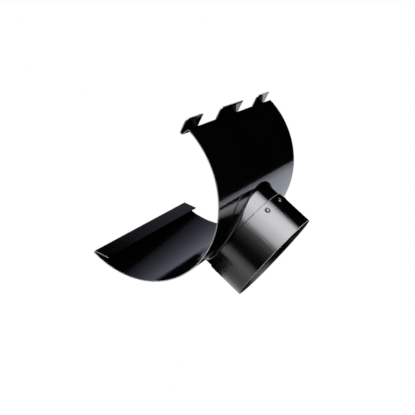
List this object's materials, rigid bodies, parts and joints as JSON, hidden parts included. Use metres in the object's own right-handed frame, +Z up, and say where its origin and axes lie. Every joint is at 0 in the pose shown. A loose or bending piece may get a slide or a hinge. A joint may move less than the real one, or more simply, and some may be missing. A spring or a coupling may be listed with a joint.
{
  "type": "gutter outlet",
  "caption": "Wrap-round outlet of coated steel sheet: half-round saddle with a front hem, folded back tabs and a drawn collar that carries a short downpipe spigot.",
  "frame": {"origin": "where the axis of the gutter crosses the axis of the downpipe, halfway along the saddle", "axes": "+X along the gutter, +Y towards the back of the gutter with the tabs, +Z up, out of the open top of the saddle; the spigot points along -Z"},
  "size_m": [0.125, 0.1304, 0.0951],
  "materials": {
    "saddle": "glossy black coating, bare cut edges",
    "spigot": "glossy black coating, bare cut edges"
  },
  "bodies": {
    "root": {"saddle": "saddle", "spigot": "spigot"}
  },
  "joints": []
}
